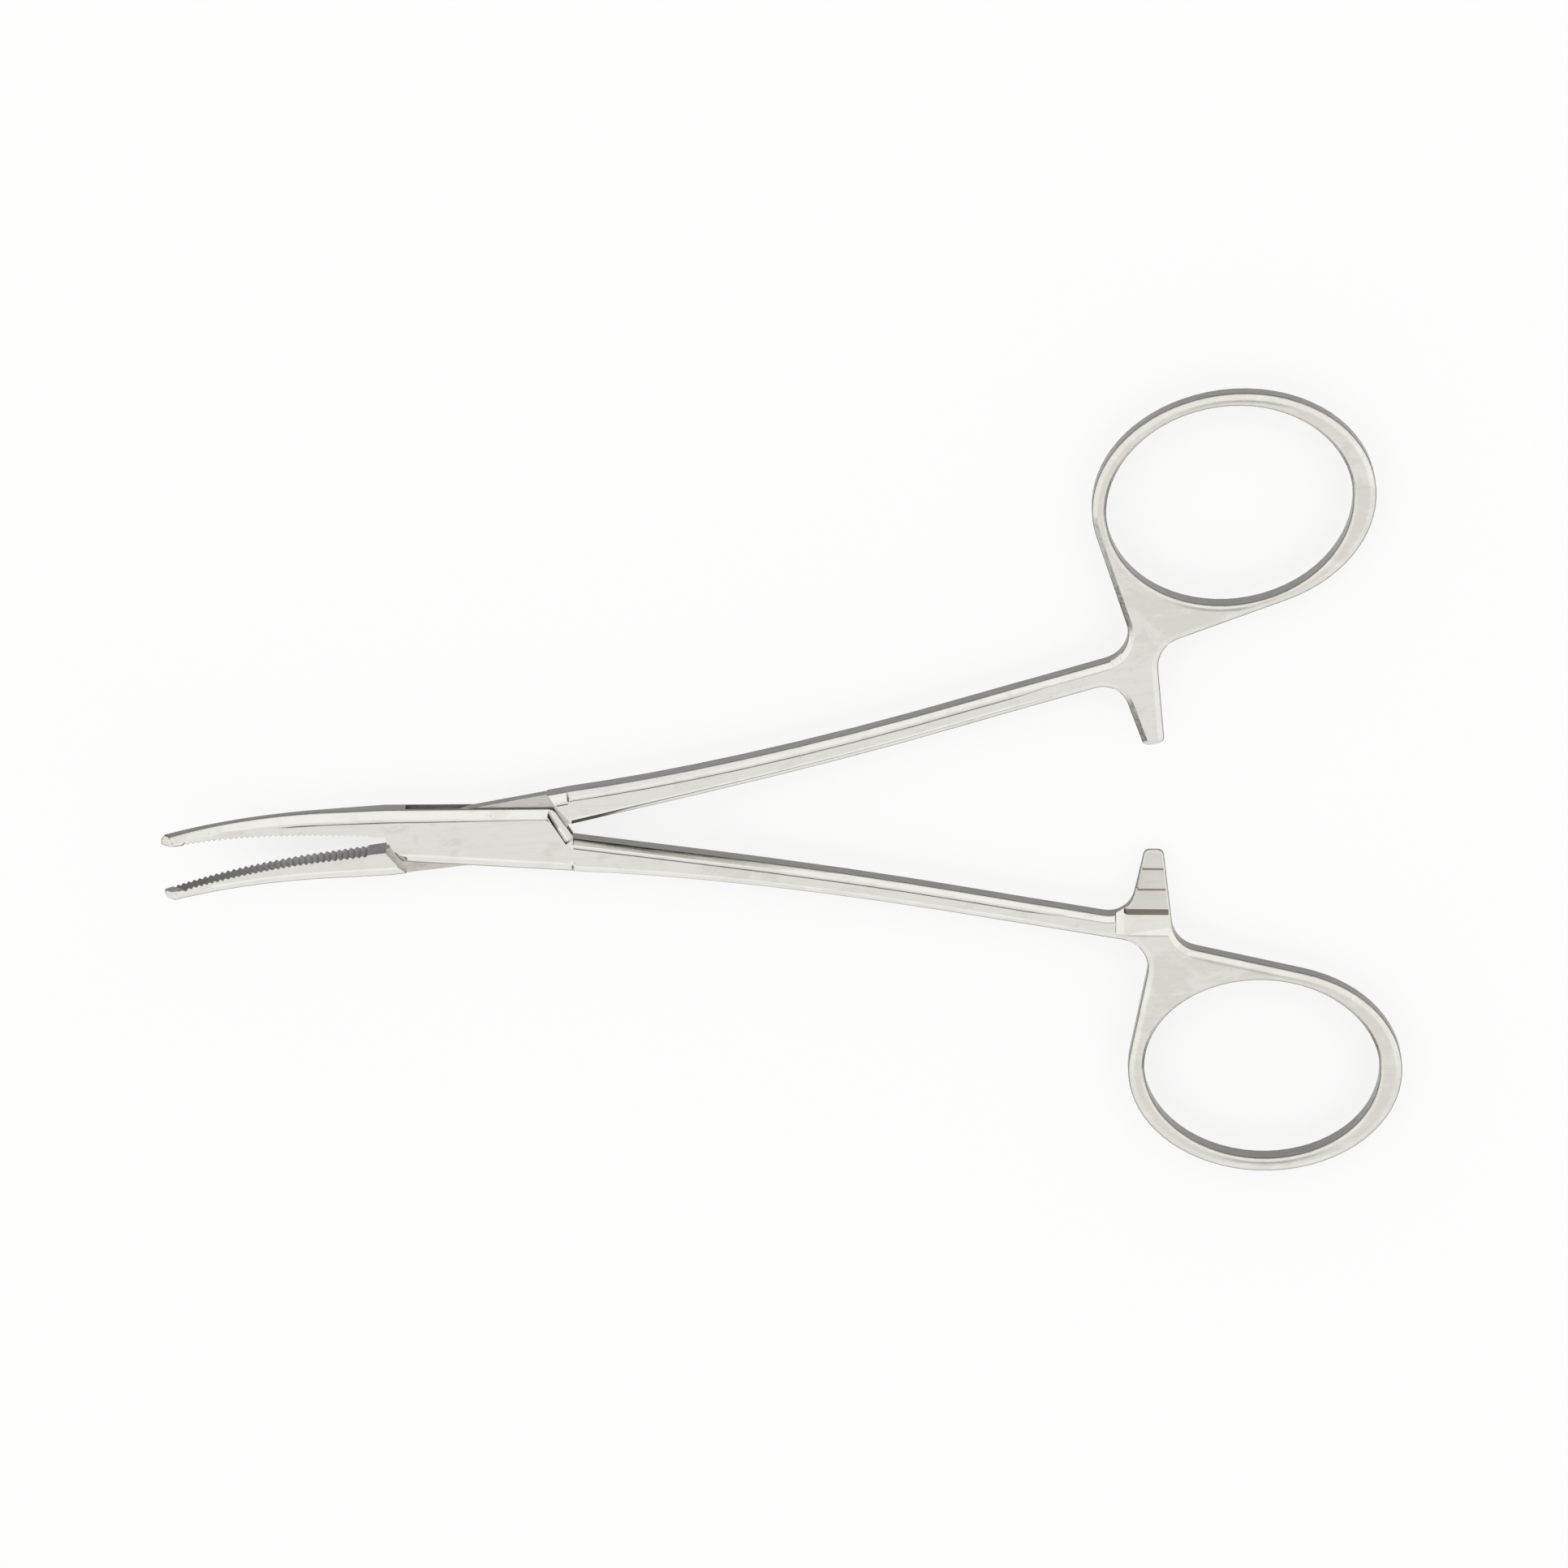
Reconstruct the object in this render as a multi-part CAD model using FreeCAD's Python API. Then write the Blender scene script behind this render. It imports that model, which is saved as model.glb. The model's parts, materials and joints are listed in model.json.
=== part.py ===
import FreeCAD, Part
import math
import os
from collections import namedtuple

# Curved mosquito hemostat with a box lock, in millimetres and degrees.
# X runs from the joint towards the finger rings, Z is the joint axis, and Z = 0 is the
# flat underside of the box. Each half is drawn closed, with its jaw at +Y and its ring
# at -Y, and is then turned open about the joint. The male half is mirrored first.

# Driving dimensions
rest_opening = 8.6            # angle between the halves at rest

box_thickness = 3.9
box_half_length = 9.3         # joint to the free end of a cheek, along the centre line
box_end_slant = 1.8           # how much shorter a cheek is at its outer corner
box_end_reach = 2.7           # half width over which that slant is measured
box_jaw_side = 2.66           # outer edge of the box where the jaw starts
box_shank_side = 3.38         # outer edge of the box where the shank starts
box_free_jaw_side = 2.50      # free edge of the box under the jaw
box_free_shank_side = 3.00    # free edge of the box over the shank
box_bevel = 0.90
box_bevel_drop = 0.95
cheek_hollow = 0.85           # radius of the hollow along a cheek's end beside the shank

slot_height = 1.50
slide_clearance = 0.05        # tongue to cheek, each side
wall_inset = 0.20             # cheek end to slot wall, along X
stop_clearance = 0.15         # shoulder to cheek end, and tongue to slot wall

pin_radius = 1.10
pin_running_clearance = 0.05

jaw_straight = 6.2            # straight stretch of the jaw beyond the box
jaw_bend_radius = 25.0
jaw_bend_angle = 37.9
jaw_tip_width = 0.95
jaw_tip_thickness = 1.9
jaw_tip_bevel = 0.48
jaw_tip_bevel_drop = 0.45
jaw_tip_round = 0.40
jaw_belly_drop = 0.30         # how much deeper the bevel reaches halfway along the jaw
jaw_taper_power = 1.05        # 1 tapers evenly, more keeps the heel full for longer
jaw_stations = 6              # sections along the bend
grip_heel_gap = 0.10          # grip face to centre line at the heel
grip_tip_gap = 0.02           # grip face to centre line at the tip

groove_pitch = 0.60
groove_depth = 0.22
groove_heel_margin = 1.8      # plain stretch between the heel and the first groove
groove_tip_margin = 0.9       # plain stretch at the tip

shank_root_width = 3.35
shank_width = 2.20
shank_width_decay = 12.0      # length over which the root's extra width fades
shank_straighten = 38.0       # length over which the shank bends outwards
shank_length = 48.7           # box end to the web
shank_thickness = 3.2         # at the web, and of the web and ring
shank_root_bevel = 0.62
shank_stations = 7            # sections along the shank
shank_crowding = 1.3          # how much closer they stand at the root

rim_bevel = 0.60              # outer rim of the web and ring, and the shank beside them
hole_bevel = 0.36             # rim of the finger hole
hole_tilt = 2.4               # outward turn of the finger hole's long axis
rim_tilt = 0.0                # outward turn of the ring's outline

neck_reach = 8.9              # shank's end to the outer side of the neck
web_outer_fillet = 3.0
web_inner_fillet = 3.0

arm_jaw_lean = 0.22           # how fast the arm's side towards the jaws leans outwards
arm_root_fillet = 2.6
arm_tip_round = 0.65
arm_side_bevel = 0.22         # along both sides of the toothed face
catch_first = 1.62            # arm's tip to its first crest
catch_count = 3
catch_pitch = 2.12
catch_crest = 0.40            # crests past the middle plane
catch_valley = 0.50           # valleys short of the middle plane
catch_run_out = 2.4           # last crest to the face of the web

catch_end_room = 1.0          # what the cut clears past the arm's tip and top

touch = 0.01                  # distance within which two edges stand in one place

# What differs between the two halves, forged and ground by hand as they are
Half = namedtuple(
    "Half",
    "shank_offset root_slope end_slope hole_reach hole_drop hole_long hole_short"
    " rim_ahead rim_below end_wall side_wall corner_drop"
    " arm_reach arm_length arm_tip_width arm_ring_lean groove_phase",
)
FEMALE = Half(
    shank_offset=1.75,        # centre line to the middle of the shank's root
    root_slope=0.075,
    end_slope=0.160,
    hole_reach=19.85,         # shank's end to the middle of the finger hole, along X
    hole_drop=15.21,          # the same, outwards
    hole_long=11.73,
    hole_short=9.21,
    rim_ahead=0.32,           # middle of the hole to the middle of the ring's outline
    rim_below=0.18,
    end_wall=1.88,            # ring's width at its far end
    side_wall=1.21,
    corner_drop=2.60,         # shank's end to the corner between arm and ring, outwards
    arm_reach=8.80,           # shank's end to the middle of the arm's tip
    arm_length=6.81,          # the shank's middle line, at its end, to the arm's tip
    arm_tip_width=1.87,
    arm_ring_lean=0.13,       # how fast the arm's side towards the ring leans outwards
    groove_phase=0.0,
)
MALE = Half(
    shank_offset=1.72,
    root_slope=0.050,
    end_slope=0.147,
    hole_reach=19.97,
    hole_drop=16.14,
    hole_long=12.22,
    hole_short=10.05,
    rim_ahead=0.48,
    rim_below=0.22,
    end_wall=1.81,
    side_wall=0.93,
    corner_drop=2.86,
    arm_reach=9.37,
    arm_length=6.96,
    arm_tip_width=2.07,
    arm_ring_lean=0.05,
    groove_phase=0.5,
)

# Sizes that follow from them
mid_z = box_thickness / 2
jaw_length = jaw_straight + jaw_bend_radius * math.radians(jaw_bend_angle)
shank_end = box_half_length + shank_length
web_low = mid_z - shank_thickness / 2
web_high = mid_z + shank_thickness / 2
beyond = 2 * box_half_length  # clear of every side of the box


def vec(x, y, z=0.0):
    return FreeCAD.Vector(x, y, z)


def outline_face(corners):
    return Part.Face(Part.makePolygon(corners + corners[:1]))


def prism(plan, z_low, z_high):
    """Upright block over a plan outline."""
    return outline_face([vec(x, y, z_low) for x, y in plan]).extrude(vec(0, 0, z_high - z_low))


def half_turned(plan):
    """The same outline on the other side of the joint."""
    return [(-x, -y) for x, y in plan]


def bar_section(place, y_low, y_high, thickness, bevel, drop, both_sides=True):
    """Cross-section of a bar: flat faces, bevels and side walls.

    place is its middle in X and Z and its lean in that plane. bevel and drop are a
    bevel's width and height, on both sides or only on the high one."""
    x, z, lean = place
    half = thickness / 2
    high_side = [(y_high - bevel, -half), (y_high, drop - half)]
    high_side += [(y, -h) for y, h in reversed(high_side)]
    low_side = [(y_low, half), (y_low, -half)]
    if both_sides:
        low_side = [(y_low + bevel, half), (y_low, half - drop)]
        low_side += [(y, -h) for y, h in reversed(low_side)]
    section = high_side + low_side
    corners = [vec(x + h * math.sin(lean), y, z + h * math.cos(lean)) for y, h in section]
    return Part.makePolygon(corners + corners[:1])


def blend(start, end, share):
    return start + (end - start) * share


# Jaw, measured along its curved middle line from the box


def jaw_place(run):
    """Point on the jaw's middle line in X and Z, and its upward slope there."""
    if run <= jaw_straight:
        return -box_half_length - run, mid_z, 0.0
    slope = (run - jaw_straight) / jaw_bend_radius
    x = -box_half_length - jaw_straight - jaw_bend_radius * math.sin(slope)
    return x, mid_z + jaw_bend_radius * (1 - math.cos(slope)), slope


def grip_line(run):
    """Distance of the grip face from the centre line."""
    return blend(grip_heel_gap, grip_tip_gap, run / jaw_length)


def jaw_section(run):
    share = run / jaw_length
    return bar_section(
        jaw_place(run),
        grip_line(run),
        blend(box_jaw_side, jaw_tip_width, share ** jaw_taper_power),
        blend(box_thickness, jaw_tip_thickness, share),
        blend(box_bevel, jaw_tip_bevel, share * share),
        blend(box_bevel_drop, jaw_tip_bevel_drop, share) + 4 * jaw_belly_drop * share * (1 - share),
        both_sides=False,
    )


def groove(run):
    """One groove of the serration, square to the curved middle line."""
    x, z, slope = jaw_place(run)
    along = vec(-math.cos(slope), 0, math.sin(slope)) * groove_pitch
    across = vec(math.sin(slope), 0, math.cos(slope)) * box_thickness
    bottom = vec(x, grip_line(run) + groove_depth, z) - across
    mouth = vec(0, -2 * groove_depth)
    section = outline_face([bottom, bottom + mouth + along, bottom + mouth - along])
    return section.extrude(across * 2)


def round_nose(blank):
    """Rounds the jaw's nose, except along the grip face."""
    x, z, slope = jaw_place(jaw_length)
    nose = []
    for edge in blank.Edges:
        middle = edge.CenterOfMass
        ahead = (x - middle.x) * math.cos(slope) + (middle.z - z) * math.sin(slope)
        if abs(ahead) < touch and middle.y > 2 * grip_tip_gap:
            nose.append(edge)
    return blank.makeFillet(jaw_tip_round, nose)


def jaw(half):
    step = (jaw_length - jaw_straight) / jaw_stations
    bend = [jaw_section(jaw_straight + step * i) for i in range(jaw_stations + 1)]
    straight = Part.makeLoft([jaw_section(0), bend[0]], True, True)
    blank = straight.fuse(Part.makeLoft(bend, True, False))
    serrated = jaw_length - groove_heel_margin - groove_tip_margin
    first = groove_heel_margin + half.groove_phase * groove_pitch
    grooves = [groove(first + groove_pitch * i) for i in range(int(serrated / groove_pitch))]
    return round_nose(blank).cut(grooves)


# Box lock: two cheeks on the female half, a tongue on the male half


def end_line(middle_x, y):
    """Where a slanting end line stands at a distance y from the centre line."""
    return middle_x - box_end_slant / box_end_reach * abs(y)


def box_block():
    """The whole box before its ends, slot and bore are cut."""
    jaw_end = (-box_half_length, mid_z, 0.0)
    shank_start = (box_half_length, mid_z, 0.0)
    size = (box_thickness, box_bevel, box_bevel_drop)
    sections = [bar_section(jaw_end, -box_free_jaw_side, box_jaw_side, *size)]
    sections += [bar_section(shank_start, -box_shank_side, box_free_shank_side, *size)]
    return Part.makeLoft(sections, True, True)


def free_corners(middle_x):
    """The two corners of the block that lie outside the slanting end lines."""
    plan = [(middle_x, 0), (end_line(middle_x, beyond), beyond), (beyond, beyond), (beyond, 0)]
    return [prism(corner, -1, box_thickness + 1) for corner in (plan, half_turned(plan))]


def cheek_hollows():
    """Hollows ground along the rims of the cheeks' ends that face the shank."""
    along = vec(-box_end_slant, box_end_reach).normalize()
    rims = [vec(box_half_length, 0, z) for z in (0, box_thickness)]
    return [Part.makeCylinder(cheek_hollow, beyond, rim, along) for rim in rims]


def slot_space():
    """Room between the cheeks, open to both sides of the box."""
    wall = box_half_length - wall_inset
    plan = [(beyond, 0), (wall, 0), (end_line(wall, beyond), -beyond)]
    return prism(plan + half_turned(plan), mid_z - slot_height / 2, mid_z + slot_height / 2)


def cheek_room(z_low, z_high):
    """Room in the male half for one cheek, in the closed place."""
    end = box_half_length + stop_clearance
    plan = [(end_line(end, beyond), -beyond), (end, 0), (end, beyond)]
    return prism(plan + half_turned(plan), z_low, z_high)


def bore(radius):
    return Part.makeCylinder(radius, box_thickness, vec(0, 0, 0))


def female_box():
    cuts = free_corners(box_half_length) + cheek_hollows()
    return box_block().cut(cuts).cut(slot_space()).cut(bore(pin_radius))


def male_box():
    tongue = slot_height / 2 - slide_clearance
    cuts = free_corners(box_half_length - wall_inset - stop_clearance)
    cuts += [cheek_room(mid_z + tongue, box_thickness + 1), cheek_room(-1, mid_z - tongue)]
    return box_block().cut(cuts).cut(bore(pin_radius + pin_running_clearance))


# Shank


def shank_middle(half, run):
    """Distance of the shank's middle line from the centre line."""
    bent = min(run, shank_straighten)
    rise = (half.end_slope - half.root_slope) * bent * bent / (2 * shank_straighten)
    return half.shank_offset + half.root_slope * bent + rise + (run - bent) * half.end_slope


def shank_section(half, run):
    share = run / shank_length
    extra = (shank_root_width - shank_width) * math.exp(-run / shank_width_decay)
    reach = (shank_width + extra) / 2
    middle = -shank_middle(half, run)
    return bar_section(
        (box_half_length + run, mid_z, 0.0),
        middle - reach,
        middle + reach,
        blend(box_thickness, shank_thickness, share),
        blend(shank_root_bevel, rim_bevel, share),
        blend(box_bevel_drop, rim_bevel, share),
    )


def shank(half):
    shares = [i / shank_stations for i in range(shank_stations + 1)]
    sections = [shank_section(half, shank_length * share ** shank_crowding) for share in shares]
    return Part.makeLoft(sections, True, False)


def shank_edge(half, x, side):
    """Edge of the shank carried on straight past its end; side is -1 outer, +1 inner."""
    extra = (shank_root_width - shank_width) * math.exp(-shank_length / shank_width_decay)
    end_y = side * (shank_width + extra) / 2 - shank_middle(half, shank_length)
    return x, end_y - half.end_slope * (x - shank_end)


# Finger ring, its web and the ratchet arm


def oval(middle, tilt, long_radius, short_radius):
    """Level ellipse with its long axis turned outwards by tilt."""
    turn = -math.radians(tilt)
    long_end = vec(math.cos(turn), math.sin(turn)) * long_radius
    short_end = vec(-math.sin(turn), math.cos(turn)) * short_radius
    return Part.Ellipse(middle + long_end, middle + short_end, middle)


def hole_oval(half, z, flare):
    """Outline of the finger hole at a height, widened all round by flare."""
    middle = vec(shank_end + half.hole_reach, -shank_middle(half, shank_length) - half.hole_drop, z)
    return oval(middle, hole_tilt, half.hole_long + flare, half.hole_short + flare)


def rim_oval(half):
    middle = hole_oval(half, web_low, 0).Center + vec(half.rim_ahead, -half.rim_below)
    return oval(middle, rim_tilt, half.hole_long + half.end_wall, half.hole_short + half.side_wall)


def finger_hole(half):
    """What is cut for a finger: an oval hole, flared at both faces."""
    walls = [(web_low - hole_bevel, 2 * hole_bevel), (web_low + hole_bevel, 0)]
    walls += [(web_high - hole_bevel, 0), (web_high + hole_bevel, 2 * hole_bevel)]
    rings = [Part.Wire(hole_oval(half, z, flare).toShape()) for z, flare in walls]
    return Part.makeLoft(rings, True, True)


def tangent_point(half, place, side):
    """Where a line from a place touches the ring's outline; side is +1 or -1 round it."""
    rim = rim_oval(half)
    across = (place[0] - rim.Center.x) / rim.MajorRadius
    up = (place[1] - rim.Center.y) / rim.MinorRadius
    angle = math.atan2(up, across) + side * math.acos(1 / math.hypot(across, up))
    touching = rim.Center + vec(rim.MajorRadius * math.cos(angle), rim.MinorRadius * math.sin(angle))
    return touching.x, touching.y


def arm_tip_depth(half):
    """How far the arm's tip stands from the centre line, closed."""
    return shank_middle(half, shank_length) - half.arm_length


def arm_side(half, depth, side):
    """Point on a side of the ratchet arm; side is -1 to the jaws, +1 to the ring."""
    lean = half.arm_ring_lean if side > 0 else arm_jaw_lean
    from_middle = half.arm_tip_width / 2 + lean * (depth - arm_tip_depth(half))
    return shank_end + half.arm_reach + side * from_middle, -depth


def arm_root_depth(half):
    """Where the arm's jaw side meets the inner edge of the shank."""
    edge_depth = -shank_edge(half, arm_side(half, 0, -1)[0], 1)[1]
    return edge_depth / (1 + half.end_slope * arm_jaw_lean)


def web_corners(half):
    """Corners of the web and arm, each with the radius that rounds it."""
    neck = shank_edge(half, shank_end + neck_reach, -1)
    crook = arm_side(half, shank_middle(half, shank_length) + half.corner_drop, 1)
    return [
        (tangent_point(half, neck, 1), 0),
        (neck, web_outer_fillet),
        (shank_edge(half, shank_end, -1), 0),
        (shank_edge(half, shank_end, 1), 0),
        (arm_side(half, arm_root_depth(half), -1), arm_root_fillet),
        (arm_side(half, arm_tip_depth(half), -1), arm_tip_round),
        (arm_side(half, arm_tip_depth(half), 1), arm_tip_round),
        (crook, web_inner_fillet),
        (tangent_point(half, crook, -1), 0),
    ]


def web_outline(half, corners):
    """Straight sides through the corners, closed by the ring's far side."""
    places = [vec(x, y, web_low) for (x, y), radius in corners]
    rim = rim_oval(half)
    far_side = rim.toShape(rim.parameter(places[0]), rim.parameter(places[-1]) + 2 * math.pi)
    return Part.Wire(Part.makePolygon(places).Edges + [far_side])


def upright_edges(shape, x, y):
    """Straight upright edges that stand at a place in plan."""
    found = []
    for edge in shape.Edges:
        middle = edge.CenterOfMass
        upright = abs(edge.BoundBox.ZLength - shank_thickness) < touch
        if upright and math.hypot(middle.x - x, middle.y - y) < touch:
            found.append(edge)
    return found


def rim_edges(shape):
    """Edges of the flat faces, apart from those where the shank joins."""
    flat = [edge for edge in shape.Edges if edge.BoundBox.ZLength < touch]
    return [edge for edge in flat if abs(edge.CenterOfMass.x - shank_end) > touch]


def ring_end(half):
    """Web, arm and ring with all rims bevelled, apart from where the shank joins."""
    corners = web_corners(half)
    plate = Part.Face(web_outline(half, corners)).extrude(vec(0, 0, shank_thickness))
    for (x, y), radius in corners:
        if radius:
            plate = plate.makeFillet(radius, upright_edges(plate, x, y))
    return plate.makeChamfer(rim_bevel, rim_edges(plate)).cut(finger_hole(half))


def catch_profile(half):
    """What is cut off an arm's toothed face, in side view as (y, z)."""
    valley, crest = mid_z - catch_valley, mid_z + catch_crest
    above = web_high + catch_end_room
    tip = -arm_tip_depth(half)
    points = [(tip + catch_end_room, above), (tip + catch_end_room, valley), (tip, valley)]
    for tooth in range(catch_count):
        y = tip - catch_first - catch_pitch * tooth
        points += [(y, crest), (y, valley)]
    run_out = y - catch_run_out
    return points + [(run_out, web_high), (run_out, above)]


def catches(half):
    """Cuts the row of sawteeth: ramps rise to the root and catch walls face it."""
    reach = 2 * half.arm_tip_width
    low_x = shank_end + half.arm_reach - reach
    corners = [vec(low_x, y, z) for y, z in catch_profile(half)]
    return outline_face(corners).extrude(vec(2 * reach, 0, 0))


def ramp_sides(shape):
    """Sloping straight edges, which are the sides of the ramps between the teeth."""
    found = []
    for edge in shape.Edges:
        size = edge.BoundBox
        slopes = size.ZLength > touch and size.YLength > size.ZLength and size.YLength > 2 * size.XLength
        if slopes and abs(edge.CenterOfMass.z - mid_z) < catch_valley:
            found.append(edge)
    return found


def toothed(plate, half):
    """The web, arm and ring with its catches cut and the sides of their ramps bevelled."""
    arm = plate.cut(catches(half))
    return arm.makeChamfer(arm_side_bevel, ramp_sides(arm))


def assemble(half, box, tooth_side):
    """One half in its closed place; tooth_side is +1 for teeth on top, -1 below."""
    end = toothed(ring_end(half), half)
    if tooth_side < 0:
        end = end.mirror(vec(0, 0, mid_z), vec(0, 0, 1))
    return box.fuse([jaw(half), shank(half), end])


def turned(shape, angle):
    placed = shape.copy()
    placed.rotate(vec(0, 0, 0), vec(0, 0, 1), angle)
    return placed


def female_half():
    return turned(assemble(FEMALE, female_box(), 1), -rest_opening / 2)


def male_half():
    closed = assemble(MALE, male_box(), -1)
    return turned(closed.mirror(vec(0, 0, 0), vec(0, 1, 0)), rest_opening / 2)


def joint_pin():
    return Part.makeCylinder(pin_radius, box_thickness)


os.makedirs("parts", exist_ok=True)
nodes = {"female_half": female_half(), "male_half": male_half(), "joint_pin": joint_pin()}
for name, shape in nodes.items():
    print(name, shape.isValid(), len(shape.Solids), round(shape.Volume, 2), shape.BoundBox)
    shape.exportStep("parts/" + name + ".step")
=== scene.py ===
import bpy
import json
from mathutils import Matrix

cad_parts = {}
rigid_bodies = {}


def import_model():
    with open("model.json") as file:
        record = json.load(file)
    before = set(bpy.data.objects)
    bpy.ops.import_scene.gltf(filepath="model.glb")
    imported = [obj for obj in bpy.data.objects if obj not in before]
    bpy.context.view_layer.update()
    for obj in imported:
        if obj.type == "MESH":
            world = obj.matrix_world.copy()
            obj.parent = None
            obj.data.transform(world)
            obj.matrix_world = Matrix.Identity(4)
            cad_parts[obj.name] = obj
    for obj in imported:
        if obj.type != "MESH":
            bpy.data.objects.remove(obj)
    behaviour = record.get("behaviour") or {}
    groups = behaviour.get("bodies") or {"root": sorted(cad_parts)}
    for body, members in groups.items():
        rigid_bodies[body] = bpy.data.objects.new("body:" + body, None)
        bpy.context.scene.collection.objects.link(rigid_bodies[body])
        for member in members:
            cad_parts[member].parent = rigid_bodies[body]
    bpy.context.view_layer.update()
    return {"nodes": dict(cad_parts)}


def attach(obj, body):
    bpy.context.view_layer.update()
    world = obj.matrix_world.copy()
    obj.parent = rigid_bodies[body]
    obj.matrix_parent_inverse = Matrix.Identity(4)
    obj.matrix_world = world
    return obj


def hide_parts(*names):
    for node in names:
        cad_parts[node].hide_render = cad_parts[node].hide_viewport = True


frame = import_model()

import json
import logging
import math
from dataclasses import dataclass, replace
from enum import Enum
from typing import Any, Iterable

import bmesh
import bpy
from mathutils import Matrix, Vector
from mathutils.bvhtree import BVHTree

# Curved mosquito hemostat with a box lock, dressed over its CAD frame. Sizes that are
# easier to read in millimetres are written in them and turned to metres where they are used.

log = logging.getLogger("hemostat")

# One millimetre in metres
MM = 0.001

# Distance of the box's ends from the joint's axis, in millimetres
BOX_END = 9.3

# Each half's turn away from the closed instrument, in degrees
HALF_OPENING = 4.3


class Body(Enum):
    """Bodies of the frame that a piece can ride on."""

    FEMALE = "female"
    MALE = "male"


class Slot(Enum):
    """Material slots of the record."""

    POLISHED = "polished_steel"


class Zone(Enum):
    """Surfaces of a forged half that are finished in different ways; FLANK, GRIP and CATCH_WALL also carry
    painted shade.
    """

    BUFFED = 0
    FLANK = 1
    MILLED = 2
    GRIP = 3
    CATCH = 4
    CATCH_WALL = 5


def linear(hex_colour: str) -> tuple[float, float, float, float]:
    """Turn an sRGB hex colour to the linear values that a node socket takes.

    Args:
        hex_colour: Six hex digits with a leading hash.

    Returns:
        Linear red, green, blue and an alpha of 1.
    """
    channels = [int(hex_colour[i:i + 2], 16) / 255 for i in (1, 3, 5)]
    red, green, blue = (c / 12.92 if c <= 0.04045 else ((c + 0.055) / 1.055) ** 2.4 for c in channels)
    return red, green, blue, 1.0


def per_mm(size_mm: float) -> float:
    """Give the texture scale on metre coordinates whose features are size_mm across.

    Args:
        size_mm: Size of a feature in millimetres.

    Returns:
        The scale.
    """
    return 1 / (size_mm * MM)


def within(value: float, limits: tuple[float, float]) -> bool:
    """Tell whether a value lies between two limits.

    Args:
        value: Value to test.
        limits: Lower and upper limit.

    Returns:
        True between them, False at them or outside.
    """
    return limits[0] < value < limits[1]


def add_node(tree: bpy.types.NodeTree, kind: str, settings: dict[str, Any] | None = None,
             inputs: dict[Any, Any] | None = None) -> bpy.types.Node:
    """Add one node with its settings, socket values and links.

    Args:
        tree: Node tree that takes the node.
        kind: Type name of the node.
        settings: Properties of the node itself.
        inputs: Socket name or number to a value, or to the output socket that feeds it.

    Returns:
        The new node.
    """
    node = tree.nodes.new(kind)
    for name, value in (settings or {}).items():
        setattr(node, name, value)
    for name, value in (inputs or {}).items():
        if isinstance(value, bpy.types.NodeSocket):
            tree.links.new(value, node.inputs[name])
        else:
            node.inputs[name].default_value = value
    return node


def empty_tree(owner: bpy.types.Material | bpy.types.World) -> bpy.types.NodeTree:
    """Turn on an owner's nodes and clear them.

    Args:
        owner: Material or world.

    Returns:
        Its empty node tree.
    """
    owner.use_nodes = True
    owner.node_tree.nodes.clear()
    return owner.node_tree


def mixed_colour(tree: bpy.types.NodeTree, factor: bpy.types.NodeSocket, under: Any,
                 over: str) -> bpy.types.NodeSocket:
    """Lay a colour over another one.

    Args:
        tree: Node tree of the material.
        factor: How far the upper colour covers.
        under: Lower colour, as linear values or as a socket.
        over: Upper colour as hex digits.

    Returns:
        The mixed colour.
    """
    mix = add_node(tree, "ShaderNodeMix", {"data_type": "RGBA"}, {
        "Factor": factor, "A": under, "B": linear(over)})
    return mix.outputs["Result"]


def ring_share(tree: bpy.types.NodeTree, place: bpy.types.NodeSocket) -> bpy.types.NodeSocket:
    """Grow from 0 on the web to 1 on the finger rings, which lie alike on both sides.

    Args:
        tree: Node tree of the material.
        place: Coordinates of the surface.

    Returns:
        How far a place belongs to a ring.
    """
    middle = (75.95 * MM, 28.93 * MM, 0.0)
    web_distance, ring_distance = 16.0 * MM, 12.5 * MM
    folded = add_node(tree, "ShaderNodeVectorMath", {"operation": "ABSOLUTE"}, {0: place})
    away = add_node(tree, "ShaderNodeVectorMath", {"operation": "DISTANCE"}, {
        0: folded.outputs["Vector"], 1: middle})
    share = add_node(tree, "ShaderNodeMapRange", {"interpolation_type": "SMOOTHSTEP"}, {
        "Value": away.outputs["Value"], "From Min": web_distance, "From Max": ring_distance})
    return share.outputs["Result"]


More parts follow.
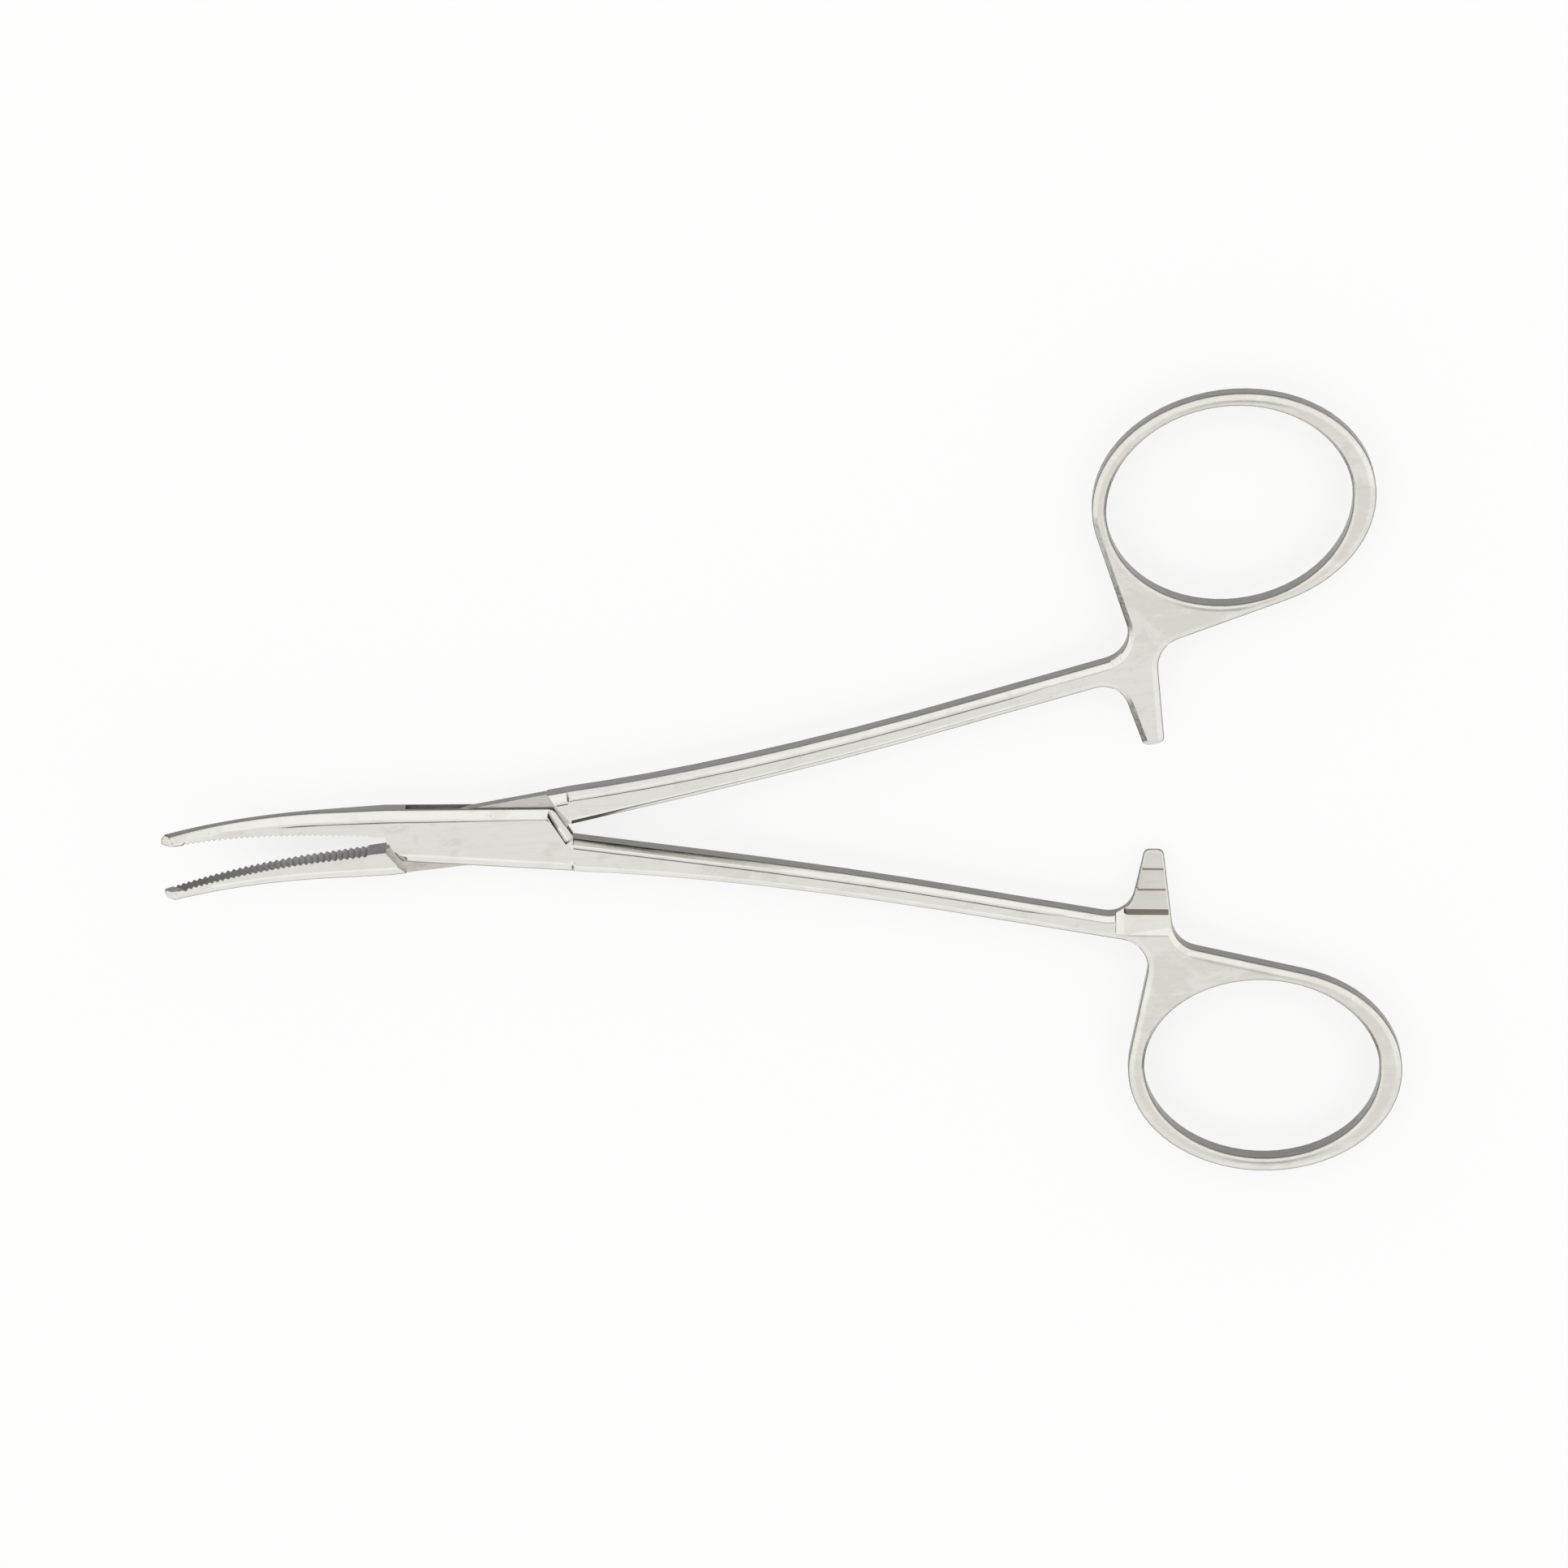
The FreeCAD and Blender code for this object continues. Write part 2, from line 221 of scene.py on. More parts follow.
@dataclass(frozen=True)
class Haze:
    """Soft clouds of a second colour that washing and handling leave on steel.

    Attributes:
        colour: Colour of the clouds.
        size: Width of a cloud in millimetres.
        share: How far a cloud covers.
        stretch: How many times longer than wide it is, along the instrument.
        ring_gain: How much sooner a cloud begins on the finger rings.
        start: Noise value where a cloud begins.
        fade: Range of noise values over which it grows to its share.
    """

    colour: str
    size: float
    share: float
    stretch: float
    ring_gain: float = 0.0
    start: float = 0.48
    fade: float = 0.18

    def amount(self, tree: bpy.types.NodeTree, place: bpy.types.NodeSocket,
               near_ring: bpy.types.NodeSocket) -> bpy.types.NodeSocket:
        """Spread the clouds.

        Args:
            tree: Node tree of the material.
            place: Coordinates of the surface.
            near_ring: How far a place belongs to a ring.

        Returns:
            How far the clouds cover.
        """
        drawn_out = add_node(tree, "ShaderNodeMapping", None, {
            "Vector": place, "Scale": (1 / self.stretch, 1.0, 1.0)})
        clouds = add_node(tree, "ShaderNodeTexNoise", None, {
            "Vector": drawn_out.outputs["Vector"], "Scale": per_mm(self.size),
            "Detail": 6.0, "Roughness": 0.68, "Distortion": 0.4})
        begin = add_node(tree, "ShaderNodeMath", {"operation": "MULTIPLY_ADD"}, {
            0: near_ring, 1: -self.ring_gain, 2: self.start})
        full = add_node(tree, "ShaderNodeMath", {"operation": "ADD"}, {
            0: begin.outputs["Value"], 1: self.fade})
        amount = add_node(tree, "ShaderNodeMapRange", {"interpolation_type": "SMOOTHSTEP"}, {
            "Value": clouds.outputs["Fac"], "From Min": begin.outputs["Value"],
            "From Max": full.outputs["Value"], "To Max": self.share})
        return amount.outputs["Result"]


@dataclass(frozen=True)
class Streaks:
    """Lines that a wheel or cutter leaves along the instrument.

    They are coarser than the real ones, so that they show in a picture of the whole.

    Attributes:
        length: Length of a line in millimetres.
        width: Its width in millimetres.
        depth: Its depth in millimetres.
        tint: How far a line takes the colour of the marks.
        tinted: Noise values between which the tint grows.
        worn: Noise values between which the roughness grows.
    """

    length: float
    width: float
    depth: float
    tint: float
    tinted: tuple[float, float] = (0.52, 0.72)
    worn: tuple[float, float] = (0.3, 0.7)

    def pattern(self, tree: bpy.types.NodeTree,
                place: bpy.types.NodeSocket) -> bpy.types.NodeSocket:
        """Draw the lines as a noise that is stretched along the instrument.

        Args:
            tree: Node tree of the material.
            place: Coordinates of the surface.

        Returns:
            The noise value.
        """
        stretched = add_node(tree, "ShaderNodeMapping", None, {
            "Vector": place,
            "Scale": (per_mm(self.length), per_mm(self.width), per_mm(self.width))})
        lines = add_node(tree, "ShaderNodeTexNoise", None, {
            "Vector": stretched.outputs["Vector"], "Scale": 1.0, "Detail": 3.0, "Roughness": 0.55})
        return lines.outputs["Fac"]


@dataclass(frozen=True)
class Specks:
    """Pores that stay open, at most one to a cell.

    Attributes:
        spacing: Width of a cell in millimetres.
        size: Radius of a speck in millimetres.
        empty: Share of the cells that have none.
        core: Part of a speck's radius that has its full colour.
    """

    spacing: float
    size: float
    empty: float = 0.72
    core: float = 0.4

    def amount(self, tree: bpy.types.NodeTree,
               place: bpy.types.NodeSocket) -> bpy.types.NodeSocket:
        """Scatter the specks.

        Args:
            tree: Node tree of the material.
            place: Coordinates of the surface.

        Returns:
            1 on a speck and 0 between them.
        """
        cells = add_node(tree, "ShaderNodeTexVoronoi", None, {
            "Vector": place, "Scale": per_mm(self.spacing), "Randomness": 1.0})
        spot = add_node(tree, "ShaderNodeMapRange", None, {
            "Value": cells.outputs["Distance"], "From Min": self.size / self.spacing,
            "From Max": self.core * self.size / self.spacing})
        chance = add_node(tree, "ShaderNodeSeparateColor", None, {"Color": cells.outputs["Color"]})
        picked = add_node(tree, "ShaderNodeMath", {"operation": "GREATER_THAN"}, {
            0: chance.outputs["Red"], 1: self.empty})
        shown = add_node(tree, "ShaderNodeMath", {"operation": "MULTIPLY"}, {
            0: spot.outputs["Result"], 1: picked.outputs["Value"]})
        return shown.outputs["Value"]


@dataclass(frozen=True)
class BrokenEdges:
    """Edges that wheel or tumbler has broken, too finely to show in the mesh.

    Attributes:
        radius: Radius of an edge in millimetres.
        ring_gain: How much larger it is on the finger rings, in millimetres.
        pin_clear: Distances from the joint's axis between which the radius grows from 0,
            because the pin is ground flush. In millimetres.
        samples: Directions that are tried to find an edge.
    """

    radius: float
    ring_gain: float = 0.0
    pin_clear: tuple[float, float] = (1.6, 2.2)
    samples: int = 6

    def normal(self, tree: bpy.types.NodeTree, place: bpy.types.NodeSocket,
               near_ring: bpy.types.NodeSocket) -> bpy.types.NodeSocket:
        """Turn the surface's direction beside its edges.

        Args:
            tree: Node tree of the material.
            place: Coordinates of the surface.
            near_ring: How far a place belongs to a ring.

        Returns:
            The direction.
        """
        level = add_node(tree, "ShaderNodeVectorMath", {"operation": "MULTIPLY"}, {
            0: place, 1: (1.0, 1.0, 0.0)})
        away = add_node(tree, "ShaderNodeVectorMath", {"operation": "LENGTH"}, {
            0: level.outputs["Vector"]})
        plain = add_node(tree, "ShaderNodeMapRange", None, {
            "Value": away.outputs["Value"], "From Min": self.pin_clear[0] * MM,
            "From Max": self.pin_clear[1] * MM, "To Max": self.radius * MM})
        radius = add_node(tree, "ShaderNodeMath", {"operation": "MULTIPLY_ADD"}, {
            0: near_ring, 1: self.ring_gain * MM, 2: plain.outputs["Result"]})
        soft = add_node(tree, "ShaderNodeBevel", {"samples": self.samples}, {
            "Radius": radius.outputs["Value"]})
        return soft.outputs["Normal"]


@dataclass(frozen=True)
class LowerEdgeShade:
    """Painted shade along the lower edges of the bevels, in the dark colour of the side walls.

    Attributes:
        colour: Colour of the painted shade.
        radius: How far it reaches, in millimetres.
        turns: How much a direction's upward part falls beside an edge, where the painted shade
        begins and where it covers.
        flat_rise: Upward part from which on a face is a flat, without this painted shade.
        samples: Directions that are tried to find an edge.
    """

    colour: str
    radius: float = 0.35
    turns: tuple[float, float] = (0.03, 0.14)
    flat_rise: float = 0.85
    samples: int = 8

    def amount(self, tree: bpy.types.NodeTree) -> bpy.types.NodeSocket:
        """Find the lower edges by how the direction turns beside them.

        Args:
            tree: Node tree of the material.

        Returns:
            How far the painted shade covers.
        """
        rounded = add_node(tree, "ShaderNodeBevel", {"samples": self.samples}, {
            "Radius": self.radius * MM})
        plain = add_node(tree, "ShaderNodeNewGeometry")
        rises = []
        for normal in (plain.outputs["Normal"], rounded.outputs["Normal"]):
            upright = add_node(tree, "ShaderNodeSeparateXYZ", None, {"Vector": normal})
            rise = add_node(tree, "ShaderNodeMath", {"operation": "ABSOLUTE"}, {0: upright.outputs["Z"]})
            rises.append(rise.outputs["Value"])
        turn = add_node(tree, "ShaderNodeMath", {"operation": "SUBTRACT"}, {0: rises[0], 1: rises[1]})
        near_edge = add_node(tree, "ShaderNodeMapRange", {"interpolation_type": "SMOOTHSTEP"}, {
            "Value": turn.outputs["Value"], "From Min": self.turns[0], "From Max": self.turns[1]})
        sloping = add_node(tree, "ShaderNodeMath", {"operation": "LESS_THAN"}, {
            0: rises[0], 1: self.flat_rise})
        amount = add_node(tree, "ShaderNodeMath", {"operation": "MULTIPLY"}, {
            0: near_edge.outputs["Result"], 1: sloping.outputs["Value"]})
        return amount.outputs["Value"]


@dataclass(frozen=True)
class SteelFinish:
    """Martensitic stainless steel with one surface finish.

    Attributes:
        name: Name of the material.
        colour: Colour of the bare steel.
        roughness: Roughness half way between the smoothest and the most worn places.
        roughness_spread: How far both lie from it.
        haze: Clouds on the surface.
        streaks: Lines in it.
        specks: Pores in it.
        marks: Colour of the lines and the pores.
        edges: Its broken edges, or None where they are crisp.
        lower_edge_shade: Painted shade along the lower edges of its bevels, or None where it has none.
    """

    name: str
    colour: str
    roughness: float
    roughness_spread: float
    haze: Haze
    streaks: Streaks
    specks: Specks
    marks: str = "#8A867F"
    edges: BrokenEdges | None = None
    lower_edge_shade: LowerEdgeShade | None = None

    def build(self) -> bpy.types.Material:
        """Make the material of this finish.

        Returns:
            The new material.
        """
        material = bpy.data.materials.new(self.name)
        tree = empty_tree(material)
        place = add_node(tree, "ShaderNodeTexCoord").outputs["Object"]
        near_ring = ring_share(tree, place)
        lines = self.streaks.pattern(tree, place)
        grain = add_node(tree, "ShaderNodeBump", None, {
            "Height": lines, "Strength": 1.0, "Distance": self.streaks.depth * MM})
        if self.edges:
            tree.links.new(self.edges.normal(tree, place, near_ring), grain.inputs["Normal"])
        worn = add_node(tree, "ShaderNodeMapRange", None, {
            "Value": lines, "From Min": self.streaks.worn[0], "From Max": self.streaks.worn[1],
            "To Min": self.roughness - self.roughness_spread,
            "To Max": self.roughness + self.roughness_spread})
        steel = add_node(tree, "ShaderNodeBsdfPrincipled", None, {
            "Base Color": self.surface_colour(tree, place, near_ring, lines), "Metallic": 1.0,
            "Roughness": worn.outputs["Result"], "Normal": grain.outputs["Normal"]})
        add_node(tree, "ShaderNodeOutputMaterial", None, {"Surface": steel.outputs["BSDF"]})
        return material

    def surface_colour(self, tree: bpy.types.NodeTree, place: bpy.types.NodeSocket,
                       near_ring: bpy.types.NodeSocket,
                       lines: bpy.types.NodeSocket) -> bpy.types.NodeSocket:
        """Lay haze, lines, specks and the painted shade of the lower edges over the steel, in this order.

        Args:
            tree: Node tree of the material.
            place: Coordinates of the surface.
            near_ring: How far a place belongs to a ring.
            lines: Noise value of the streaks.

        Returns:
            The colour.
        """
        hazy = mixed_colour(tree, self.haze.amount(tree, place, near_ring), linear(self.colour),
                            self.haze.colour)
        tint = add_node(tree, "ShaderNodeMapRange", None, {
            "Value": lines, "From Min": self.streaks.tinted[0], "From Max": self.streaks.tinted[1],
            "To Max": self.streaks.tint})
        lined = mixed_colour(tree, tint.outputs["Result"], hazy, self.marks)
        specked = mixed_colour(tree, self.specks.amount(tree, place), lined, self.marks)
        # Painted shade along the lower edges of the bevels
        if self.lower_edge_shade:
            return mixed_colour(tree, self.lower_edge_shade.amount(tree), specked, self.lower_edge_shade.colour)
        return specked


# Painted shade: a dark colour on the side walls and along the lower edges of the bevels, standing in for
# the shaded floor that they reflect
FLANK_SHADE_COLOUR = "#625F59"

# Buffed on a felt wheel: a bright mirror with a faint warm haze, fine lines along the
# instrument and a few open pores; along the lower edges of its bevels, painted shade
BUFFED_STEEL = SteelFinish(
    name="stainless steel, buffed", colour="#E5E4E0", roughness=0.13, roughness_spread=0.05,
    haze=Haze(colour="#D2C8BE", size=2.2, share=0.34, stretch=1.7, ring_gain=0.13),
    streaks=Streaks(length=9.0, width=0.35, depth=0.0006, tint=0.045),
    specks=Specks(spacing=1.6, size=0.07),
    edges=BrokenEdges(radius=0.16, ring_gain=0.30), lower_edge_shade=LowerEdgeShade(colour=FLANK_SHADE_COLOUR))

# The side walls: softer, hardly lined and dark; the dark is painted shade for the shaded floor they
# reflect
SIDE_WALL_PAINTED_SHADE = SteelFinish(
    name="stainless steel, side walls in painted shade", colour=FLANK_SHADE_COLOUR, roughness=0.26, roughness_spread=0.05,
    haze=Haze(colour="#585550", size=3.0, share=0.6, stretch=2.0),
    streaks=Streaks(length=5.0, width=0.5, depth=0.0010, tint=0.25),
    specks=Specks(spacing=1.1, size=0.08), marks="#5F5C58", edges=BrokenEdges(radius=0.2))

# Cutter work inside the box, which no wheel reaches: satin and slightly pink
MILLED_STEEL = SteelFinish(
    name="stainless steel, milled", colour="#D2CCC8", roughness=0.36, roughness_spread=0.08,
    haze=Haze(colour="#C4B9B4", size=1.6, share=0.7, stretch=2.0),
    streaks=Streaks(length=1.6, width=0.18, depth=0.0016, tint=0.22),
    specks=Specks(spacing=0.9, size=0.06))

# Teeth cut across the grip faces, where no wheel reaches: dull, and dark with painted shade beside the
# bright jaw
GRIP_TEETH_PAINTED_SHADE = SteelFinish(
    name="stainless steel, cut grip teeth, painted shade", colour="#5F5C58", roughness=0.30, roughness_spread=0.08,
    haze=Haze(colour="#4F4C49", size=1.0, share=0.8, stretch=1.0),
    streaks=Streaks(length=0.9, width=0.12, depth=0.0012, tint=0.30),
    specks=Specks(spacing=0.9, size=0.06), marks="#45423F", edges=BrokenEdges(radius=0.05))

# Catches ground one by one: a mirror like the rest, but with crisp edges, so that each wall
# shows again in the ramp below it
CATCH_STEEL = replace(
    BUFFED_STEEL, name="stainless steel, ground catches", colour="#DDD9D5", roughness=0.10,
    roughness_spread=0.03, haze=replace(BUFFED_STEEL.haze, ring_gain=0.0), edges=None, lower_edge_shade=None)

# The walls of the catches are ground too, but stand in shade: their middle grey between the ramps is
# painted shade
CATCH_WALL_PAINTED_SHADE = replace(
    SIDE_WALL_PAINTED_SHADE, name="stainless steel, ground walls of the catches, painted shade", colour="#A8A49C", roughness=0.22,
    haze=replace(SIDE_WALL_PAINTED_SHADE.haze, colour="#98938B"), streaks=replace(SIDE_WALL_PAINTED_SHADE.streaks, tint=0.1),
    edges=None)

# The rivet is ground flush with the cheeks, so only a slightly softer spot shows it
PIN_STEEL = replace(BUFFED_STEEL, name="stainless steel, ground", roughness=0.15, lower_edge_shade=None)


def only(item: bpy.types.Object) -> None:
    """Leave one object selected and active.

    Args:
        item: The object.
    """
    bpy.ops.object.select_all(action="DESELECT")
    item.select_set(True)
    bpy.context.view_layer.objects.active = item


def edit_mesh(item: bpy.types.Object, select_kind: str) -> bmesh.types.BMesh:
    """Get the mesh of an object in edit mode, with nothing selected.

    Args:
        item: The object.
        select_kind: VERT, EDGE or FACE, which will be selected next.

    Returns:
        Its mesh.
    """
    bpy.ops.mesh.select_mode(type=select_kind)
    bpy.ops.mesh.select_all(action="DESELECT")
    return bmesh.from_edit_mesh(item.data)


@dataclass(frozen=True)
class ClosedPlace:
    """Finds where a point of a half stands on the closed instrument.

    There each half has its jaw at +Y and its ring at -Y, the male one after mirroring.

    Attributes:
        open_turn: Turn of the half away from its closed place, in degrees.
        mirrored: Whether it is the male half.
    """

    open_turn: float
    mirrored: bool

    def of(self, point: Vector) -> Vector:
        """Turn a point back to its closed place.

        Args:
            point: Point of the half, in metres.

        Returns:
            The closed place in millimetres.
        """
        closed = Matrix.Rotation(math.radians(-self.open_turn), 3, "Z") @ point / MM
        return Vector((closed.x, -closed.y, closed.z)) if self.mirrored else closed


@dataclass(frozen=True)
class CreaseRounding:
    """Rounds the creases between flats and bevels as a buffing wheel does.

    Places are closed ones in millimetres. A rise, lean or turn is the size of a
    direction's part along Z, X or Y.

    Attributes:
        closed: Finds the closed place of a point.
        width: Width of the rounding on each side of a crease.
        steps: Faces across it.
        reach_x: Ends of the stretch that is rounded, between the jaw's tip and the web.
        plane_angle: Largest angle between triangles of one plane, in degrees.
        box_room: Distance from the box over which triangles stay as they are.
        flat_rise: Least rise of a flat.
        jaw_flat_rise: Least rise of a flat on the jaw, which curves up.
        jaw_flat_turn: Largest turn of it.
        bevel_rise: Least and largest rise of a bevel.
        bevel_lean: Largest lean of a bevel.
        outward: Least outward part of a bevel on the jaw, whose grip edges stay sharp.
        cheek_corner: Corner where a crease runs into the hollow of a cheek's end.
        corner_reach: Radius round it where slivers are merged.
        corner_merge: Size of a sliver.
    """

    closed: ClosedPlace
    width: float = 0.30
    steps: int = 4
    reach_x: tuple[float, float] = (-27.6, 58.02)
    plane_angle: float = 0.5
    box_room: float = 0.3
    flat_rise: float = 0.985
    jaw_flat_rise: float = 0.7
    jaw_flat_turn: float = 0.12
    bevel_rise: tuple[float, float] = (0.3, 0.93)
    bevel_lean: float = 0.3
    outward: float = 0.3
    cheek_corner: tuple[float, float] = (7.4, 2.95)
    corner_reach: float = 0.45
    corner_merge: float = 0.14

    def round(self, piece: bpy.types.Object) -> int:
        """Round the creases of a piece.

        Args:
            piece: The merged copy of a half.

        Returns:
            How many edges are rounded.
        """
        only(piece)
        bpy.ops.object.mode_set(mode="EDIT")
        self.merge_strips(piece)
        sharp_skin = BVHTree.FromBMesh(bmesh.from_edit_mesh(piece.data))
        mesh = edit_mesh(piece, "EDGE")
        creases = [edge for edge in mesh.edges if self.is_crease(edge)]
        for edge in creases:
            edge.select_set(True)
        bmesh.update_edit_mesh(piece.data)
        bpy.ops.mesh.bevel(offset=self.width * MM, segments=self.steps, profile=0.5,
                           clamp_overlap=False)
        self.tidy_cheek_corner(piece, sharp_skin)
        bpy.ops.object.mode_set(mode="OBJECT")
        return len(creases)

    def merge_strips(self, piece: bpy.types.Object) -> None:
        """Merge the triangles of one plane on the jaw and shank, which have no holes.

        Args:
            piece: The copy in edit mode.
        """
        mesh = edit_mesh(piece, "FACE")
        for face in mesh.faces:
            x = self.closed.of(face.calc_center_median()).x
            face.select_set(within(x, self.reach_x) and abs(x) > BOX_END + self.box_room)
        bmesh.update_edit_mesh(piece.data)
        bpy.ops.mesh.dissolve_limited(angle_limit=math.radians(self.plane_angle))

    def is_flat(self, normal: Vector, place: Vector) -> bool:
        """Tell whether a face is part of a flat, which on the jaw curves up with it.

        Args:
            normal: Direction of the face.
            place: Closed place of its crease.

        Returns:
            True on a flat.
        """
        if place.x < -BOX_END:
            return abs(normal.y) < self.jaw_flat_turn and abs(normal.z) > self.jaw_flat_rise
        return abs(normal.z) > self.flat_rise

    def is_crease(self, edge: bmesh.types.BMEdge) -> bool:
        """Tell whether an edge is a crease to round.

        Args:
            edge: Edge of the copy.

        Returns:
            True between a flat and a bevel within reach, on the jaw only on its outer side.
        """
        start, end = (self.closed.of(point.co) for point in edge.verts)
        if min(start.x, end.x) < self.reach_x[0] or max(start.x, end.x) > self.reach_x[1]:
            return False
        place = (start + end) / 2
        flat, bevel = sorted((face.normal for face in edge.link_faces), key=lambda n: -abs(n.z))
        if not self.is_flat(flat, place) or self.is_flat(bevel, place):
            return False
        if place.x < -BOX_END and self.closed.of(bevel * MM).y <= self.outward:
            return False
        least_rise, largest_rise = self.bevel_rise
        return least_rise < abs(bevel.z) <= largest_rise and abs(bevel.x) < self.bevel_lean

    def tidy_cheek_corner(self, piece: bpy.types.Object, sharp_skin: BVHTree) -> None:
        """Merge the slivers where a rounded crease runs into the hollow of a cheek's end.

        Args:
            piece: The copy in edit mode.
            sharp_skin: Its surface before the rounding, which nothing may stand out of.
        """
        mesh = edit_mesh(piece, "VERT")
        for point in mesh.verts:
            place = self.closed.of(point.co)
            across = place.x - self.cheek_corner[0], place.y - self.cheek_corner[1]
            point.select_set(math.hypot(*across) < self.corner_reach)
            if point.select:
                skin, outwards, _, _ = sharp_skin.find_nearest(point.co)
                if (point.co - skin).dot(outwards) > 0:
                    point.co = skin
        mesh.select_flush(True)
        bmesh.update_edit_mesh(piece.data)
        bpy.ops.mesh.remove_doubles(threshold=self.corner_merge * MM)


@dataclass(frozen=True)
class ZoneRules:
    """Tells which finish a face of a half has, by its closed place and its direction.

    Places are in millimetres. A rise, lean or turn is the size of a direction's part
    along Z, X or Y.

    Attributes:
        middle: Height of the box's middle plane.
        slot_reach: Distance from that plane within which slot and tongue lie.
        flank_rise: Rise under which a face is a wall.
        shoulder_reach: Distance from the box's ends where the shoulders are.
        shoulder_lean: Lean over which a wall there is a shoulder, which is buffed.
        grip_top: How far the grip face reaches outwards.
        grip_rise: Largest rise of the grip face and its teeth.
        catch_x: Sides of the arm's toothed face.
        catch_y: Its ends.
        catch_depth: How far it lies from the middle plane at the most.
        ramp_rise: Least and largest rise of a ramp.
        ramp_lean: Largest lean of a ramp.
        wall_x: Sides of the catches' walls.
        wall_y: Stretch that the walls stand in, short of the arm's tip.
        wall_turn: Least turn of a wall.
        runout_x: Where the slope below the last catch ends in a small step.
        runout_lean: Least lean of the step.
    """

    middle: float = 1.95
    slot_reach: float = 0.8
    flank_rise: float = 0.42
    shoulder_reach: float = 1.0
    shoulder_lean: float = 0.35
    grip_top: float = 0.45
    grip_rise: float = 0.5
    catch_x: tuple[float, float] = (64.2, 70.5)
    catch_y: tuple[float, float] = (-10.5, 1.0)
    catch_depth: float = 1.3
    ramp_rise: tuple[float, float] = (0.6, 0.98)
    ramp_lean: float = 0.5
    wall_x: tuple[float, float] = (64.9, 70.2)
    wall_y: tuple[float, float] = (-7.7, 0.3)
    wall_turn: float = 0.985
    runout_x: tuple[float, float] = (62.9, 63.4)
    runout_lean: float = 0.9

    def zone(self, place: Vector, normal: Vector) -> Zone:
        """Tell the finish of a face.

        Args:
            place: Closed place of the face's middle.
            normal: Direction of the face.

        Returns:
            Its zone.
        """
        rise, lean = abs(normal.z), abs(normal.x)
        in_slot = abs(place.z - self.middle) < self.slot_reach and abs(place.x) < BOX_END
        if in_slot and rise > self.flank_rise:
            return Zone.MILLED
        # Grip teeth get the material that is dark with painted shade
        if place.x < -BOX_END and place.y < self.grip_top and rise < self.grip_rise:
            return Zone.GRIP
        if self.is_ramp(place, normal) or (within(place.x, self.runout_x) and lean > self.runout_lean):
            return Zone.CATCH
        # Walls of the catches get the material that is middle grey with painted shade
        if self.is_catch_wall(place, normal):
            return Zone.CATCH_WALL
        # Side walls, but not the buffed shoulders, get the material that is dark with painted shade
        near_shoulder = abs(abs(place.x) - BOX_END) < self.shoulder_reach
        if rise < self.flank_rise and not (near_shoulder and lean > self.shoulder_lean):
            return Zone.FLANK
        return Zone.BUFFED

    def is_ramp(self, place: Vector, normal: Vector) -> bool:
        """Tell whether a face is a ramp between the catches or the slope below the last one.

        Args:
            place: Closed place of the face's middle.
            normal: Direction of the face.

        Returns:
            True on a ramp.
        """
        among = within(place.x, self.catch_x) and within(place.y, self.catch_y)
        level = abs(place.z - self.middle) < self.catch_depth
        sloping = within(abs(normal.z), self.ramp_rise) and abs(normal.x) < self.ramp_lean
        return among and level and sloping

    def is_catch_wall(self, place: Vector, normal: Vector) -> bool:
        """Tell whether a face is the upright wall of a catch and not the arm's own edge.

        Args:
            place: Closed place of the face's middle.
            normal: Direction of the face.

        Returns:
            True on a wall.
        """
        among = within(place.x, self.wall_x) and within(place.y, self.wall_y)
        return among and abs(normal.y) > self.wall_turn


